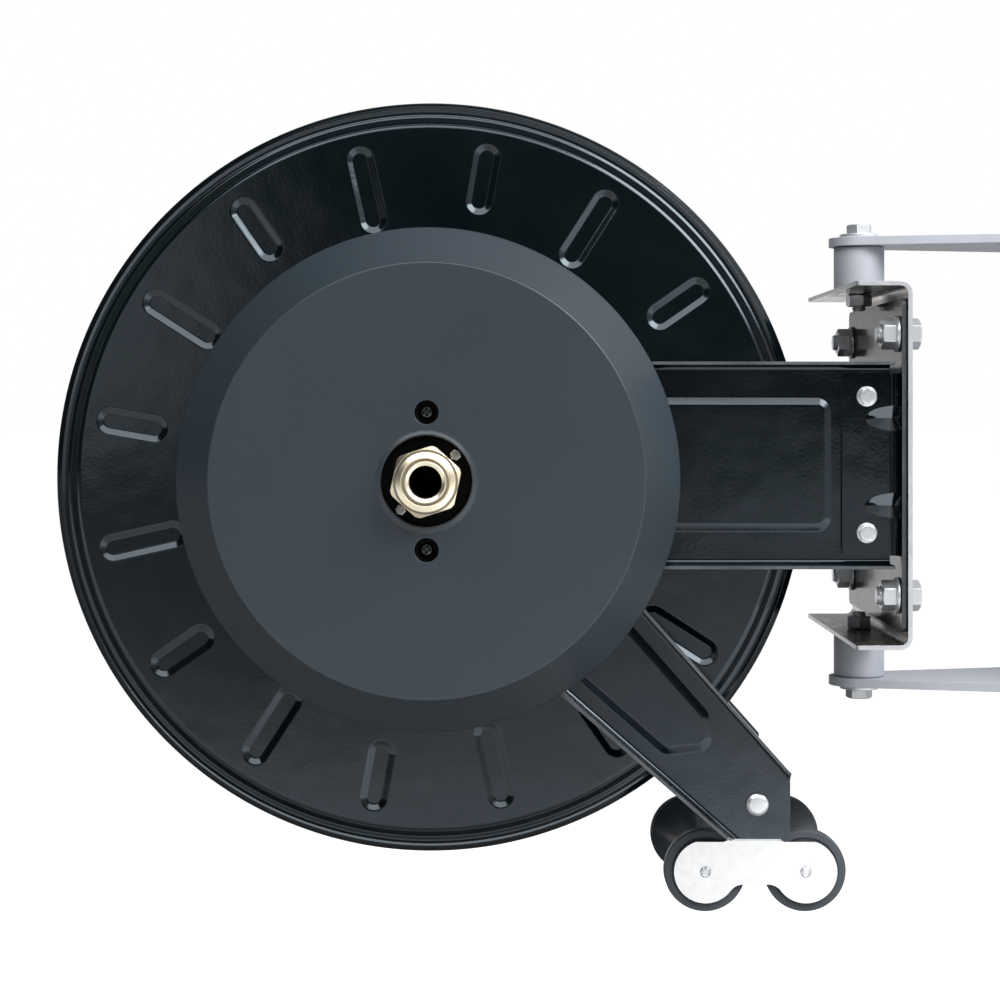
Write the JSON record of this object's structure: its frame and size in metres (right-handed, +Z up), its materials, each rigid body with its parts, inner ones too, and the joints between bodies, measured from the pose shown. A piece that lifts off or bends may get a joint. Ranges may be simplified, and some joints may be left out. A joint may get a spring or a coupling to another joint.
{
  "type": "fuel hose reel",
  "caption": "Spring-rewind hose reel: ribbed drum between pressed arms, roller guide, brass inlet swivel and a swinging wall bracket.",
  "frame": {"origin": "centre of the wall plate's back face, level with the middle of the arms", "axes": "+X into the wall, +Z up, -Y towards the side with the spring cover and the inlet"},
  "size_m": [0.738, 0.2752, 0.5407],
  "materials": {
    "black_paint": "gloss black powder coat with a light orange peel",
    "cover_paint": "matt blue-grey paint",
    "zinc": "bright zinc plate",
    "grey_steel": "satin silver-grey paint",
    "brass": "turned and polished",
    "black_oxide": "black oxide",
    "dark_nylon": "moulded, satin",
    "spring_steel": "oiled spring steel",
    "seal_rubber": "matt"
  },
  "bodies": {
    "wall_mount": {"wall_bracket": "grey_steel", "pivot_spacer_upper": "grey_steel", "pivot_spacer_lower": "grey_steel", "pivot_washer_upper": "zinc", "pivot_washer_lower": "zinc", "pivot_bolt_upper": "zinc", "pivot_bolt_lower": "zinc", "pivot_nut_upper": "zinc", "pivot_nut_lower": "zinc"},
    "swing_frame": {"swivel_bracket": "zinc", "base_bolt_near_upper": "zinc", "base_bolt_near_lower": "zinc", "base_bolt_far_upper": "zinc", "base_bolt_far_lower": "zinc", "base_nut_near_upper": "zinc", "base_nut_near_lower": "zinc", "base_nut_far_upper": "zinc", "base_nut_far_lower": "zinc", "arm_bolt_near_upper": "zinc", "arm_bolt_near_lower": "zinc", "arm_bolt_far_upper": "zinc", "arm_bolt_far_lower": "zinc", "arm_nut_near_upper": "zinc", "arm_nut_near_lower": "zinc", "arm_nut_far_upper": "zinc", "arm_nut_far_lower": "zinc", "base_channel": "black_paint", "spring_case": "black_paint", "main_arm_near": "black_paint", "main_arm_far": "black_paint", "guide_arm_near": "black_paint", "guide_arm_far": "black_paint", "bearing_near": "black_paint", "bearing_far": "black_paint", "guide_rivet_near": "zinc", "guide_rivet_far": "zinc", "roller_plate_near": "zinc", "roller_plate_far": "zinc", "roller_axle_left": "zinc", "roller_axle_right": "zinc", "hub_screw_1": "zinc", "hub_screw_2": "zinc", "pawl_pin": "zinc", "power_spring": "spring_steel", "front_bearing": "black_oxide", "cover_screw_upper": "black_oxide", "cover_screw_lower": "black_oxide", "spring_cover": "cover_paint"},
    "drum": {"drum_core": "black_paint", "drum_disc_near": "black_paint", "drum_disc_far": "black_paint", "drum_shaft": "zinc", "hose_outlet": "zinc", "ratchet_wheel": "spring_steel"},
    "inlet": {"inlet_swivel": "brass", "inlet_seal": "seal_rubber"},
    "roller_left": {"roller_left": "dark_nylon"},
    "roller_right": {"roller_right": "dark_nylon"},
    "pawl": {"pawl": "spring_steel"}
  },
  "joints": [
    {"name": "frame_swing", "type": "hinge", "parent": "wall_mount", "child": "swing_frame", "pos_m": [-0.19, 0, 0], "axis": [0, 0, 1], "range_deg": [-90, 90]},
    {"name": "drum_spin", "type": "hinge", "parent": "swing_frame", "child": "drum", "pos_m": [-0.488, 0, -0.009], "axis": [0, 1, 0], "range_deg": [0, 5130], "stiffness_Nm_per_rad": 0.14},
    {"name": "inlet_spin", "type": "hinge", "parent": "swing_frame", "child": "inlet", "pos_m": [-0.488, 0, -0.009], "axis": [0, 1, 0], "continuous": true},
    {"name": "roller_left_spin", "type": "hinge", "parent": "swing_frame", "child": "roller_left", "pos_m": [-0.3043, 0, -0.2723], "axis": [0, 1, 0], "continuous": true},
    {"name": "roller_right_spin", "type": "hinge", "parent": "swing_frame", "child": "roller_right", "pos_m": [-0.2373, 0, -0.2723], "axis": [0, 1, 0], "continuous": true},
    {"name": "pawl_swing", "type": "hinge", "parent": "swing_frame", "child": "pawl", "pos_m": [-0.40528, 0, 0.00559], "axis": [0, 1, 0], "range_deg": [0, 18]}
  ]
}
